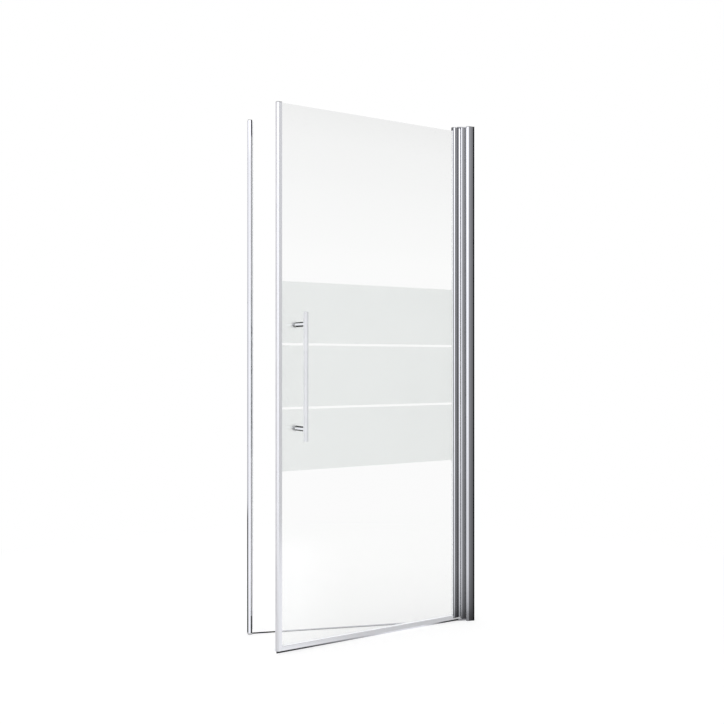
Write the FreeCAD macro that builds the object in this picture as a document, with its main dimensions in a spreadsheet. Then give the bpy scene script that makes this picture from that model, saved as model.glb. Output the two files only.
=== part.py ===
import FreeCAD, Part
import math
import os
import Sketcher

# Pivot shower door for a niche, in millimetres.
# The origin lies on the tray, in the middle of the niche opening and in the plane of the closed door.
# +X points to the hinge side wall, +Y into the shower and +Z up.
# The door leaf stands open by rest_angle, towards -Y, as in the photograph.

SIZES = {
    # The niche and the heights
    "opening_width": 880.0,
    "profile_height": 1920.0,
    "strike_drop": 23.0,
    "glass_drop": 21.0,
    "pivot_offset": 59.0,
    "rest_angle": 19.8,
    "slide_clearance": 0.3,
    # Hinge side wall channel
    "channel_reach": 32.0,
    "channel_wall": 2.0,
    "nose_front": 17.0,
    "nose_width": 7.5,
    "nose_drop": 0.7,
    "flange_front": 14.5,
    "flange_width": 6.5,
    "channel_cove_depth": 0.25,
    "wall_seal_seat": 12.0,
    "wall_seal_front": 14.2,
    "edge_rounding": 1.2,
    "wall_hole_radius": 2.6,
    "wall_hole_spacing": 530.0,
    "wall_hole_count": 4,
    "cap_plate": 1.5,
    "cap_peg_length": 10.0,
    # Hinge post, telescoping in the channel
    "post_front": 8.0,
    "post_ridge": 10.5,
    "post_side_gap": 1.7,
    "post_bevel_width": 2.9,
    "post_bevel_depth": 2.1,
    "post_flute_start": 1.0,
    "post_relief_gap": 1.2,
    "post_rear": 10.0,
    "post_wall": 1.8,
    "screw_head_room": 8.0,
    "post_cove_depth": 0.25,
    "post_lip_reach": 2.0,
    "knuckle_radius": 7.5,
    "knuckle_clearance": 0.5,
    "port_radius": 2.1,
    "port_inset": 4.0,
    # Screws that clamp the post
    "clamp_screw_count": 3,
    "clamp_screw_spacing": 660.0,
    "clamp_screw_radius": 2.5,
    "clamp_head_radius": 4.5,
    "clamp_head_height": 2.7,
    "clamp_screw_grip": 6.0,
    "screw_clearance": 0.1,
    # Pivots
    "pivot_radius": 3.0,
    "pivot_clearance": 0.05,
    "bush_wall": 1.15,
    "bush_length": 13.7,
    "pin_end_gap": 1.0,
    "bracket_gap": 1.0,
    "bottom_plate": 6.0,
    "top_plate": 3.7,
    "thrust_washer_height": 1.0,
    "thrust_washer_radius": 6.5,
    "bearing_gap": 0.1,
    "top_running_gap": 1.3,
    "bottom_block_height": 7.9,
    "top_flange": 1.2,
    "block_plug_length": 30.0,
    "bracket_screw_radius": 2.0,
    "bracket_screw_length": 18.0,
    "bracket_head_radius": 3.6,
    "bracket_head_height": 1.5,
    # Soft lip behind the knuckle
    "gap_seal_thickness": 1.2,
    "gap_seal_lip": 9.0,
    "gap_seal_grip": 14.0,
    # Door glass, decor and gaskets
    "glass_thickness": 5.0,
    "glass_edge_gap": 1.0,
    "decor_bottom": 626.0,
    "decor_band": 214.0,
    "decor_line": 8.0,
    "decor_thickness": 0.2,
    "decor_glue": 0.05,
    "gasket_lip": 2.5,
    # Hinge stile, with a ridge and a bead beside the flute of its outer face
    "stile_reach": 33.0,
    "stile_body_reach": 24.8,
    "stile_lip_reach": 29.2,
    "stile_slot_depth": 14.0,
    "stile_slot_wall": 1.5,
    "stile_gasket": 1.5,
    "stile_gasket_lip": 1.0,
    "flute_reach": 13.0,
    "flute_half": 5.3,
    "bead_reach": 4.0,
    "stile_wall": 2.1,
    "stile_chamber_end": 17.0,
    "stile_chamber_front": 3.3,
    "block_clearance": 0.3,
    # Frame of the glass: closing stile and bottom rail
    "frame_thickness": 16.0,
    "frame_wall": 1.5,
    "frame_lip": 3.0,
    "closing_width": 20.0,
    "closing_slope_reach": 6.3,
    "closing_slope_depth": 2.2,
    "glass_seat": 11.5,
    "magnet_seat": 2.5,
    "strip_stand_out": 1.8,
    "magnet_gap": 1.2,
    "magnet_half_width": 4.0,
    "strip_foot": 1.2,
    "rail_bottom": 9.6,
    "rail_height": 15.9,
    "rail_web_height": 4.0,
    "rail_rounding": 2.5,
    "rail_groove_drop": 5.0,
    "rail_groove_height": 2.2,
    "rail_groove_depth": 0.8,
    "rail_gasket_depth": 7.0,
    "leaf_joint_gap": 0.3,
    # Seals under the rail
    "wiper_bottom": 3.6,
    "wiper_blade": 4.4,
    "wiper_start": 10.0,
    "deflector_reach": 24.0,
    "deflector_plate": 1.1,
    "deflector_tip": 2.3,
    "deflector_start": 45.0,
    "seal_neck": 1.8,
    "seal_foot_height": 2.4,
    # Handle
    "handle_from_edge": 82.0,
    "handle_height": 954.0,
    "handle_length": 445.0,
    "handle_overhang": 42.5,
    "handle_radius": 9.0,
    "handle_tube_wall": 1.5,
    "handle_stand_off": 64.0,
    "handle_cap_plate": 1.5,
    "handle_cap_plug": 10.0,
    "handle_rounding": 0.8,
    "stud_radius": 3.0,
    "stud_grip": 22.0,
    "stud_tail": 12.0,
    "glass_hole_radius": 6.0,
    "sleeve_clearance": 0.1,
    "washer_thickness": 1.0,
    "knob_radius": 9.0,
    "knob_length": 18.0,
    "knob_rounding": 2.0,
    # Strike side post
    "strike_channel_reach": 11.0,
    "strike_width": 15.0,
    "strike_half_depth": 15.0,
    "strike_wall": 1.6,
    "strike_profile_wall": 1.5,
    "strike_slope_depth": 0.7,
    "strike_overlap": 4.0,
    "strike_foot_height": 6.0,
    "strike_foot_margin": 0.5,
    "stop_seal_reach": 6.5,
    "stop_seal_thickness": 1.0,
    "stop_seal_gap": 0.4,
    "stop_seal_bottom": 14.0,
    "strike_screw_radius": 1.9,
    "strike_head_radius": 3.5,
    "strike_head_height": 2.2,
    "strike_screw_inset": 7.5,
    # Threshold
    "threshold_front": 1.5,
    "threshold_rear": 12.5,
    "threshold_height": 3.8,
    "threshold_rear_height": 2.2,
    "threshold_tape_height": 0.8,
    "threshold_tape_inset": 0.5,
    "threshold_rounding": 1.2,
    "threshold_cap_length": 2.5,
    "threshold_end_gap": 0.4,
    "threshold_stop_length": 99.0,
    "threshold_stop_width": 2.5,
    "threshold_stop_height": 4.2,
}

doc = FreeCAD.newDocument("PivotShowerDoor")
sheet = doc.addObject("Spreadsheet::Sheet", "Sizes")


class Size:
    """A length with the expression that works it out from the sheet."""

    def __init__(self, value, text):
        self.value = float(value)
        self.text = text

    @staticmethod
    def of(other):
        if isinstance(other, Size):
            return other
        return Size(other, str(other))

    def __add__(self, other):
        other = Size.of(other)
        return Size(self.value + other.value, f"({self.text} + {other.text})")

    def __radd__(self, other):
        return Size.of(other) + self

    def __sub__(self, other):
        other = Size.of(other)
        return Size(self.value - other.value, f"({self.text} - {other.text})")

    def __rsub__(self, other):
        return Size.of(other) - self

    def __mul__(self, other):
        other = Size.of(other)
        return Size(self.value * other.value, f"({self.text} * {other.text})")

    def __rmul__(self, other):
        return Size.of(other) * self

    def __truediv__(self, other):
        other = Size.of(other)
        return Size(self.value / other.value, f"({self.text} / {other.text})")

    def __neg__(self):
        return Size(-self.value, f"(0 - {self.text})")


class Sheet:
    """The driving sizes, written to the sheet and given back as sizes by name."""

    def __init__(self, table):
        for row, (alias, number) in enumerate(table.items(), start=1):
            sheet.set(f"A{row}", alias)
            sheet.set(f"B{row}", str(number))
            sheet.setAlias(f"B{row}", alias)
            setattr(self, alias, Size(number, f"Sizes.{alias}"))


s = Sheet(SIZES)
doc.recompute()

# Places that several pieces share
zero = Size(0, "0")
wall_x = s.opening_width / 2
pivot_x = wall_x - s.pivot_offset
mouth_x = wall_x - s.channel_reach
post_end_x = wall_x - s.channel_wall - s.screw_head_room
inner_front = s.post_front + s.slide_clearance
inner_rear = s.post_rear + s.slide_clearance
channel_rear = inner_rear + s.channel_wall
wall_hole_y = (inner_rear - inner_front) / 2
middle_z = s.profile_height / 2
glass_top = s.profile_height - s.glass_drop

channel_top = s.profile_height - s.cap_plate
top_plate_z = channel_top - s.slide_clearance - s.top_plate
post_bottom = s.bracket_gap + s.bottom_plate
post_top = top_plate_z
washer_top = post_bottom + s.thrust_washer_height
foot_z = washer_top + s.bearing_gap
stile_bottom = foot_z + s.bottom_block_height
stile_top = post_top - s.top_running_gap - s.top_flange
stile_slot_end = s.stile_reach - s.stile_slot_depth

half_glass = s.glass_thickness / 2
half_frame = s.frame_thickness / 2
half_seat = half_frame - s.frame_wall
half_mouth = half_frame - s.frame_lip
leaf_reach = s.opening_width - s.pivot_offset - s.strike_width - s.strip_stand_out - s.magnet_gap
closing_end = leaf_reach - s.frame_wall
closing_start = leaf_reach - s.closing_width
glass_chamber_start = closing_start + s.frame_wall
glass_chamber_end = glass_chamber_start + s.glass_seat
magnet_chamber_end = closing_end - s.frame_wall
magnet_chamber_start = magnet_chamber_end - s.magnet_seat
glass_start = stile_slot_end + s.glass_edge_gap
glass_end = glass_chamber_end - s.glass_edge_gap
rail_top = s.rail_bottom + s.rail_height
rail_web_top = s.rail_bottom + s.rail_web_height + s.frame_wall
glass_bottom = rail_web_top + s.glass_edge_gap
rail_start = s.stile_reach + s.leaf_joint_gap
rail_end = closing_start - s.leaf_joint_gap
groove_radius = s.knuckle_radius + s.knuckle_clearance
pin_hole_radius = s.pivot_radius + s.pivot_clearance
bush_radius = pin_hole_radius + s.bush_wall

handle_reach = leaf_reach - s.handle_from_edge
handle_top = s.handle_height + s.handle_length / 2
handle_bottom = s.handle_height - s.handle_length / 2
handle_holes = {
    "upper": handle_top - s.handle_overhang,
    "lower": handle_bottom + s.handle_overhang,
}
strike_x = -wall_x
strike_mouth_x = strike_x + s.strike_width
magnet_tip_x = strike_mouth_x + s.strip_stand_out

pieces = []
cuts = []


def bind(item, name, size):
    """Ties a property of an object to the sheet."""
    item.setExpression(name, size.text)


def new_piece(label, rides_on):
    """A sub-part. One that rides on the door is drawn from the pivot axis and turned open by rest_angle."""
    body = doc.addObject("PartDesign::Body", label)
    body.Label = label
    if rides_on == "door":
        bind(body, "Placement.Base.x", pivot_x)
        bind(body, "Placement.Rotation.Angle", s.rest_angle)
    pieces.append(body)
    return body


def rectangle(x0, y0, x1, y1):
    """Corners of an upright rectangle."""
    return [(x0, y0), (x1, y0), (x1, y1), (x0, y1)]


def mirrored(points):
    """The same outline on the other side of the sketch's horizontal line."""
    return [(x, -y) for x, y in reversed(points)]


def ring(x, y, radius):
    """A circle in a sketch."""
    return ("ring", x, y, radius)


def constrain_point(sketch, constraints, ties, geometry, end, x, y):
    """Holds one point of a sketch at a place that the sheet gives."""
    for kind, size in (("DistanceX", x), ("DistanceY", y)):
        ties.append((len(sketch.Constraints) + len(constraints), size))
        constraints.append(Sketcher.Constraint(kind, geometry, end, size.value))


def draw_ring(sketch, loop):
    """Adds a circle with its centre and radius tied to the sheet."""
    _, x, y, radius = loop
    centre = FreeCAD.Vector(x.value, y.value, 0)
    number = sketch.addGeometry(Part.Circle(centre, FreeCAD.Vector(0, 0, 1), radius.value))
    constraints = []
    ties = []
    constrain_point(sketch, constraints, ties, number, 3, x, y)
    ties.append((len(sketch.Constraints) + len(constraints), radius))
    constraints.append(Sketcher.Constraint("Radius", number, radius.value))
    return constraints, ties


def draw_outline(sketch, points):
    """Adds a closed outline of straight lines with every corner tied to the sheet."""
    corners = [FreeCAD.Vector(x.value, y.value, 0) for x, y in points]
    lines = [Part.LineSegment(a, b) for a, b in zip(corners, corners[1:] + corners[:1])]
    numbers = sketch.addGeometry(lines)
    constraints = []
    ties = []
    for number, following in zip(numbers, numbers[1:] + numbers[:1]):
        constraints.append(Sketcher.Constraint("Coincident", number, 2, following, 1))
    for number, (x, y) in zip(numbers, points):
        constrain_point(sketch, constraints, ties, number, 1, x, y)
    return constraints, ties


def new_sketch(body, plane, start, loops):
    """A sketch on one of the body's own planes, start away from it along the plane's normal."""
    sketch = body.newObject("Sketcher::SketchObject", f"{body.Name}_sketch")
    support = [item for item in body.Origin.OriginFeatures if item.Role == f"{plane}_Plane"][0]
    sketch.AttachmentSupport = [(support, "")]
    sketch.MapMode = "FlatFace"
    sketch.AttachmentOffset = FreeCAD.Placement(FreeCAD.Vector(0, 0, start.value), FreeCAD.Rotation())
    bind(sketch, "AttachmentOffset.Base.z", start)
    for loop in loops:
        draw = draw_ring if loop[0] == "ring" else draw_outline
        constraints, ties = draw(sketch, loop)
        sketch.addConstraint(constraints)
        for number, size in ties:
            bind(sketch, f"Constraints[{number}]", size)
    return sketch


def pad(body, plane, start, length, *loops):
    """Material from start over length along the plane's normal: XY up, XZ outwards to -Y, YZ to +X."""
    feature = body.newObject("PartDesign::Pad", f"{body.Name}_pad")
    feature.Profile = new_sketch(body, plane, start, loops)
    bind(feature, "Length", length)
    body.Tip = feature
    return feature


def cut(body, plane, start, length, *loops):
    """Takes material away from start over length along the plane's normal."""
    before = body.Tip
    feature = body.newObject("PartDesign::Pocket", f"{body.Name}_cut")
    feature.Profile = new_sketch(body, plane, start, loops)
    feature.Reversed = True
    bind(feature, "Length", length)
    body.Tip = feature
    cuts.append((before, feature))
    return feature


def round_edges(body, radius, direction, places):
    """Rounds the edges that run along direction through the given places, read across it."""
    doc.recompute()
    base = body.Tip
    across = [axis for axis in range(3) if axis != direction]
    names = []
    for number, edge in enumerate(base.Shape.Edges, start=1):
        centre = edge.BoundBox.Center
        extent = (edge.BoundBox.XLength, edge.BoundBox.YLength, edge.BoundBox.ZLength)
        straight = all(extent[axis] < 1e-6 for axis in across)
        if not straight:
            continue
        for place in places:
            if all(abs(centre[axis] - size.value) < 1e-4 for axis, size in zip(across, place)):
                names.append(f"Edge{number}")
    feature = body.newObject("PartDesign::Fillet", f"{body.Name}_rounding")
    feature.Base = (base, names)
    bind(feature, "Radius", radius)
    body.Tip = feature
    return feature


def round_rims(body, radius, edge_radius, direction, place):
    """Rounds the circular rims of edge_radius whose centre lies at place along direction."""
    doc.recompute()
    base = body.Tip
    names = []
    for number, edge in enumerate(base.Shape.Edges, start=1):
        circle = edge.Curve
        if not isinstance(circle, Part.Circle):
            continue
        if abs(circle.Radius - edge_radius.value) > 1e-4:
            continue
        if abs(circle.Center[direction] - place.value) < 1e-4:
            names.append(f"Edge{number}")
    feature = body.newObject("PartDesign::Fillet", f"{body.Name}_rim")
    feature.Base = (base, names)
    bind(feature, "Radius", radius)
    body.Tip = feature
    return feature


def root(size):
    """The square root of a size."""
    return Size(math.sqrt(size.value), f"sqrt({size.text})")


def cove(body, left, right, depth, start, length):
    """Cuts a long hollow flute into a face between two points of its outline. Its depth runs towards +Y."""
    half_x = (right[0] - left[0]) / 2
    half_y = (right[1] - left[1]) / 2
    half = root(half_x * half_x + half_y * half_y)
    radius = (half * half + depth * depth) / (depth * 2)
    away = (radius - depth) / half
    centre_x = (left[0] + right[0]) / 2 + half_y * away
    centre_y = (left[1] + right[1]) / 2 - half_x * away
    return cut(body, "XY", start, length, ring(centre_x, centre_y, radius))


def heights(count, spacing):
    """Evenly spaced heights about the middle of the profiles."""
    return [middle_z + spacing * (number - (count - 1) / 2) for number in range(count)]


wall_hole_heights = heights(SIZES["wall_hole_count"], s.wall_hole_spacing)
clamp_heights = heights(SIZES["clamp_screw_count"], s.clamp_screw_spacing)


# ---- Hinge side of the frame ----

nose_port = (mouth_x + s.port_radius + s.edge_rounding, -(s.nose_front - s.port_radius * 2))
clamp_screw_x = mouth_x + s.clamp_head_radius + s.channel_wall


nose_crest = (mouth_x + s.nose_width, -s.nose_front)
nose_corner = (mouth_x, -(s.nose_front - s.nose_drop))
flange_corner = (wall_x - s.flange_width, -s.flange_front)


def hinge_wall_channel():
    """Channel screwed to the wall. Its front leg slopes from a broad nose to a seat for the wall seal."""
    body = new_piece("hinge_wall_channel", "frame")
    web_x = wall_x - s.channel_wall
    outline = [
        (wall_x, -s.wall_seal_seat),
        (flange_corner[0], -s.wall_seal_seat),
        flange_corner,
        nose_crest,
        nose_corner,
        (mouth_x, -inner_front),
        (web_x, -inner_front),
        (web_x, inner_rear),
        (mouth_x, inner_rear),
        (mouth_x, channel_rear),
        (wall_x, channel_rear),
    ]
    hollow = rectangle(
        nose_crest[0], -(s.flange_front - s.channel_wall),
        flange_corner[0] - s.channel_wall, -(inner_front + s.channel_wall),
    )
    pad(body, "XY", zero, channel_top, outline, hollow, ring(*nose_port, s.port_radius))
    round_edges(body, s.edge_rounding, 2, [nose_corner, (mouth_x, channel_rear)])
    cove(body, nose_crest, flange_corner, s.channel_cove_depth, zero, channel_top)
    wall_holes = [ring(wall_hole_y, z, s.wall_hole_radius) for z in wall_hole_heights]
    cut(body, "YZ", web_x, s.channel_wall, *wall_holes)
    screw_holes = [ring(clamp_screw_x, z, s.clamp_screw_radius + s.screw_clearance) for z in clamp_heights]
    cut(body, "XZ", -channel_rear, s.channel_wall, *screw_holes)


def hinge_wall_seal():
    """Dark strip along the wall, on its seat in the channel."""
    body = new_piece("hinge_wall_seal", "frame")
    strip = rectangle(
        flange_corner[0] + s.slide_clearance, -s.wall_seal_front,
        wall_x, -s.wall_seal_seat,
    )
    pad(body, "XY", zero, channel_top, strip)


def post_ports():
    """The two screw ports at the ends of the post."""
    return [
        (pivot_x + groove_radius + s.port_inset + s.port_radius, s.post_wall + s.screw_clearance),
        (post_end_x - s.port_inset, wall_hole_y),
    ]


def hinge_post():
    """Hollow post that slides in the channel. Its free end is bevelled and grooved round the stile."""
    body = new_piece("hinge_post", "frame")
    height = post_top - post_bottom
    lip_x = pivot_x + s.post_lip_reach
    side_x = pivot_x + s.flute_half + s.post_side_gap
    ridge_x = side_x + s.post_bevel_width
    slope = (s.post_ridge - s.post_front) / (mouth_x - ridge_x)
    outline = [
        (side_x, s.post_bevel_depth - s.post_ridge),
        (ridge_x, -s.post_ridge),
        (mouth_x, -s.post_front),
        (post_end_x, -s.post_front),
        (post_end_x, s.post_rear),
        (lip_x, s.post_rear),
        (lip_x, zero),
        (pivot_x + groove_radius, zero),
    ]
    left_port, right_port = post_ports()
    chamber = rectangle(
        left_port[0] + s.port_radius + s.post_wall,
        -(s.post_front - s.post_cove_depth - s.post_wall),
        right_port[0] - s.port_radius - s.post_wall,
        s.post_rear - s.post_wall,
    )
    ports = [ring(x, y, s.port_radius) for x, y in (left_port, right_port)]
    pad(body, "XY", post_bottom, height, outline, chamber, *ports)
    cut(body, "XY", post_bottom, height, ring(pivot_x, zero, groove_radius))
    # Room at the foot for the door's bottom block, which is thicker than the stile above it
    relief = rectangle(side_x, -s.post_ridge, pivot_x + half_frame + s.post_relief_gap, zero)
    cut(body, "XY", post_bottom, stile_bottom + s.post_relief_gap - post_bottom, relief)
    flute_end = mouth_x - s.slide_clearance - ridge_x
    left, right = [(ridge_x + x, slope * x - s.post_ridge) for x in (s.post_flute_start, flute_end)]
    cove(body, left, right, s.post_cove_depth, post_bottom, height)
    holes = [ring(clamp_screw_x, z, s.clamp_screw_radius + s.screw_clearance) for z in clamp_heights]
    cut(body, "XZ", -s.post_rear, s.post_wall, *holes)


def hinge_clamp_screws():
    """Pan head screws that clamp the post in the channel, from inside the shower."""
    body = new_piece("hinge_clamp_screws", "frame")
    head_end = -(channel_rear + s.clamp_head_height)
    heads = [ring(clamp_screw_x, z, s.clamp_head_radius) for z in clamp_heights]
    pad(body, "XZ", head_end, s.clamp_head_height, *heads)
    shanks = [ring(clamp_screw_x, z, s.clamp_screw_radius) for z in clamp_heights]
    pad(body, "XZ", -channel_rear, s.channel_wall + s.clamp_screw_grip, *shanks)


def hinge_cap_top():
    """Cover cap on top of the wall channel and its seal, with a peg in the nose."""
    body = new_piece("hinge_cap_top", "frame")
    outline = [
        (wall_x, -s.flange_front),
        flange_corner,
        nose_crest,
        nose_corner,
        (mouth_x, channel_rear),
        (wall_x, channel_rear),
    ]
    pad(body, "XY", channel_top, s.cap_plate, outline)
    round_edges(body, s.edge_rounding, 2, [nose_corner, (mouth_x, channel_rear)])
    peg = ring(*nose_port, s.port_radius - s.screw_clearance)
    pad(body, "XY", channel_top - s.cap_peg_length, s.cap_peg_length, peg)


def hinge_gap_seal():
    """Soft lip on the back of the post that closes the gap behind the knuckle."""
    body = new_piece("hinge_gap_seal", "frame")
    lip_x = pivot_x + s.post_lip_reach
    lip_y = groove_radius
    outline = [
        (pivot_x + s.gap_seal_grip, s.post_rear),
        (lip_x, s.post_rear),
        (pivot_x - s.gap_seal_lip, lip_y),
        (pivot_x - s.gap_seal_lip, lip_y + s.gap_seal_thickness),
        (lip_x, s.post_rear + s.gap_seal_thickness),
        (pivot_x + s.gap_seal_grip, s.post_rear + s.gap_seal_thickness),
    ]
    pad(body, "XY", stile_bottom, stile_top - stile_bottom, outline)


# ---- Pivots ----


def pivot_bracket(label, bottom, thickness, head_z):
    """Plate screwed to the end of the post. Its rounded end holds a pivot pin."""
    body = new_piece(label, "frame")
    outline = [
        (pivot_x, -s.post_front),
        (post_end_x, -s.post_front),
        (post_end_x, s.post_rear),
        (pivot_x + s.post_rear, s.post_rear),
        (pivot_x, s.post_front),
    ]
    pad(body, "XY", bottom, thickness, outline)
    pad(body, "XY", bottom, thickness, ring(pivot_x, zero, s.post_front))
    cut(body, "XY", bottom, thickness, ring(pivot_x, zero, pin_hole_radius))
    shank_holes = [ring(x, y, s.bracket_screw_radius + s.screw_clearance) for x, y in post_ports()]
    cut(body, "XY", bottom, thickness, *shank_holes)
    head_holes = [ring(x, y, s.bracket_head_radius + s.screw_clearance) for x, y in post_ports()]
    cut(body, "XY", head_z, s.bracket_head_height, *head_holes)


def bracket_screws(label, head_z, shank_z):
    """Flat head screws that hold a bracket on the post."""
    body = new_piece(label, "frame")
    heads = [ring(x, y, s.bracket_head_radius) for x, y in post_ports()]
    pad(body, "XY", head_z, s.bracket_head_height, *heads)
    shanks = [ring(x, y, s.bracket_screw_radius) for x, y in post_ports()]
    pad(body, "XY", shank_z, s.bracket_screw_length, *shanks)


def pivot_pin(label, bottom, length):
    """Steel pin on the turning axis, held in its bracket."""
    body = new_piece(label, "frame")
    pad(body, "XY", bottom, length, ring(pivot_x, zero, s.pivot_radius))


def thrust_washer():
    """Slippery washer that carries the weight of the door."""
    body = new_piece("thrust_washer", "frame")
    outer = ring(pivot_x, zero, s.thrust_washer_radius)
    inner = ring(pivot_x, zero, s.pivot_radius + s.screw_clearance)
    pad(body, "XY", post_bottom, s.thrust_washer_height, outer, inner)


def pivots():
    """Both pivots of the frame. Each pin stops short of the end of its bush."""
    pin_depth = s.bush_length - s.pin_end_gap
    top_plate_end = top_plate_z + s.top_plate
    top_head_z = top_plate_end - s.bracket_head_height
    pivot_bracket("top_pivot_bracket", top_plate_z, s.top_plate, top_head_z)
    bracket_screws("top_bracket_screws", top_head_z, top_head_z - s.bracket_screw_length)
    pin_bottom = stile_top + s.top_flange - pin_depth
    pivot_pin("top_pivot_pin", pin_bottom, top_plate_end - pin_bottom)
    bottom_head_z = s.bracket_gap
    pivot_bracket("bottom_pivot_bracket", s.bracket_gap, s.bottom_plate, bottom_head_z)
    bracket_screws("bottom_bracket_screws", bottom_head_z, bottom_head_z + s.bracket_head_height)
    pivot_pin("bottom_pivot_pin", s.bracket_gap, foot_z + pin_depth - s.bracket_gap)
    thrust_washer()


# ---- Strike side of the frame ----

strike_screw_x = strike_x + s.strike_screw_inset
profile_half_depth = s.strike_half_depth - s.strike_wall - s.slide_clearance
strike_body_top = s.profile_height - s.strike_drop - s.cap_plate
strike_body_height = strike_body_top - s.strike_foot_height


def strike_wall_channel():
    """Slim channel screwed to the wall on the closing side."""
    body = new_piece("strike_wall_channel", "frame")
    inner_half = s.strike_half_depth - s.strike_wall
    end_x = strike_x + s.strike_channel_reach
    outline = rectangle(strike_x, -s.strike_half_depth, end_x, s.strike_half_depth)
    pad(body, "XY", s.strike_foot_height, strike_body_height, outline)
    front_edges = [(strike_x, -s.strike_half_depth), (end_x, -s.strike_half_depth)]
    round_edges(body, s.edge_rounding, 2, front_edges)
    hollow = rectangle(strike_x + s.strike_wall, -inner_half, end_x, inner_half)
    cut(body, "XY", s.strike_foot_height, strike_body_height, hollow)
    holes = [ring(zero, z, s.wall_hole_radius) for z in wall_hole_heights]
    cut(body, "YZ", strike_x, s.strike_wall, *holes)
    screw_holes = [ring(strike_screw_x, z, s.strike_screw_radius + s.screw_clearance) for z in clamp_heights]
    cut(body, "XZ", -s.strike_half_depth, s.strike_wall, *screw_holes)


def strike_magnet_profile():
    """Profile in the strike channel. It holds the fixed magnet strip and the stop seal."""
    body = new_piece("strike_magnet_profile", "frame")
    half = profile_half_depth
    start_x = strike_x + s.strike_overlap
    strip_lip_x = strike_mouth_x - s.frame_wall
    magnet_x = strip_lip_x - s.frame_wall
    cavity_end_x = magnet_x - s.frame_wall
    slope_x = strike_x + s.strike_channel_reach
    outline = [
        (start_x, -half),
        (slope_x, -half),
        (strike_mouth_x, -half + s.strike_slope_depth),
        (strike_mouth_x, half),
        (start_x, half),
    ]
    pad(body, "XY", s.strike_foot_height, strike_body_height, outline)
    cavity_half = half - s.strike_profile_wall
    cavity = rectangle(start_x, -cavity_half, cavity_end_x, cavity_half)
    cut(body, "XY", s.strike_foot_height, strike_body_height, cavity)
    foot_half = s.magnet_half_width + s.frame_wall
    chamber = rectangle(magnet_x, -foot_half, strip_lip_x, foot_half)
    cut(body, "XY", s.strike_foot_height, strike_body_height, chamber)
    mouth_half = s.magnet_half_width + s.slide_clearance
    mouth = rectangle(strip_lip_x, -mouth_half, strike_mouth_x, mouth_half)
    cut(body, "XY", s.strike_foot_height, strike_body_height, mouth)
    stop_y = half_frame + s.stop_seal_gap
    root = rectangle(strip_lip_x, stop_y, strike_mouth_x, stop_y + s.stop_seal_thickness)
    cut(body, "XY", s.strike_foot_height, strike_body_height, root)
    holes = [ring(strike_screw_x, z, s.strike_screw_radius + s.screw_clearance) for z in clamp_heights]
    cut(body, "XZ", -half, s.strike_profile_wall, *holes)


def strike_magnet_strip():
    """Magnetic strip that faces the strip in the door's edge."""
    body = new_piece("strike_magnet_strip", "frame")
    lip_x = strike_mouth_x - s.frame_wall
    gap = s.slide_clearance
    foot_half = s.magnet_half_width + s.frame_wall - gap
    foot = rectangle(lip_x - s.strip_foot, -foot_half, lip_x, foot_half)
    pad(body, "XY", s.strike_foot_height, strike_body_height, foot)
    tip = rectangle(lip_x, -s.magnet_half_width, magnet_tip_x, s.magnet_half_width)
    pad(body, "XY", s.strike_foot_height, strike_body_height, tip)


def strike_stop_seal():
    """Soft fin behind the closed door's edge. The door closes against it."""
    body = new_piece("strike_stop_seal", "frame")
    stop_y = half_frame + s.stop_seal_gap
    fin = rectangle(
        strike_mouth_x - s.frame_wall, stop_y,
        strike_mouth_x + s.stop_seal_reach, stop_y + s.stop_seal_thickness,
    )
    pad(body, "XY", s.stop_seal_bottom, strike_body_top - s.stop_seal_bottom, fin)


def strike_clamp_screws():
    """Small screws through the rear legs of the strike channel and its profile."""
    body = new_piece("strike_clamp_screws", "frame")
    heads = [ring(strike_screw_x, z, s.strike_head_radius) for z in clamp_heights]
    pad(body, "XZ", -(s.strike_half_depth + s.strike_head_height), s.strike_head_height, *heads)
    shanks = [ring(strike_screw_x, z, s.strike_screw_radius) for z in clamp_heights]
    pad(body, "XZ", -s.strike_half_depth, s.clamp_screw_grip, *shanks)


def strike_ends():
    """Cap on top of the strike post and the foot under it."""
    cap = new_piece("strike_cap_top", "frame")
    outline = rectangle(strike_x, -s.strike_half_depth, strike_mouth_x, s.strike_half_depth)
    pad(cap, "XY", strike_body_top, s.cap_plate, outline)
    peg_half = profile_half_depth - s.strike_profile_wall - s.slide_clearance
    peg_start = strike_x + s.strike_overlap
    peg = rectangle(peg_start, -peg_half, peg_start + s.strike_overlap, peg_half)
    pad(cap, "XY", strike_body_top - s.cap_peg_length, s.cap_peg_length, peg)
    foot = new_piece("strike_foot", "frame")
    foot_half = s.strike_half_depth + s.strike_foot_margin
    foot_end = strike_mouth_x + s.strike_foot_margin
    pad(foot, "XY", zero, s.strike_foot_height, rectangle(strike_x, -foot_half, foot_end, foot_half))
    round_edges(foot, s.edge_rounding, 2, [(foot_end, -foot_half), (strike_x, -foot_half)])


# ---- Threshold ----


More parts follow.
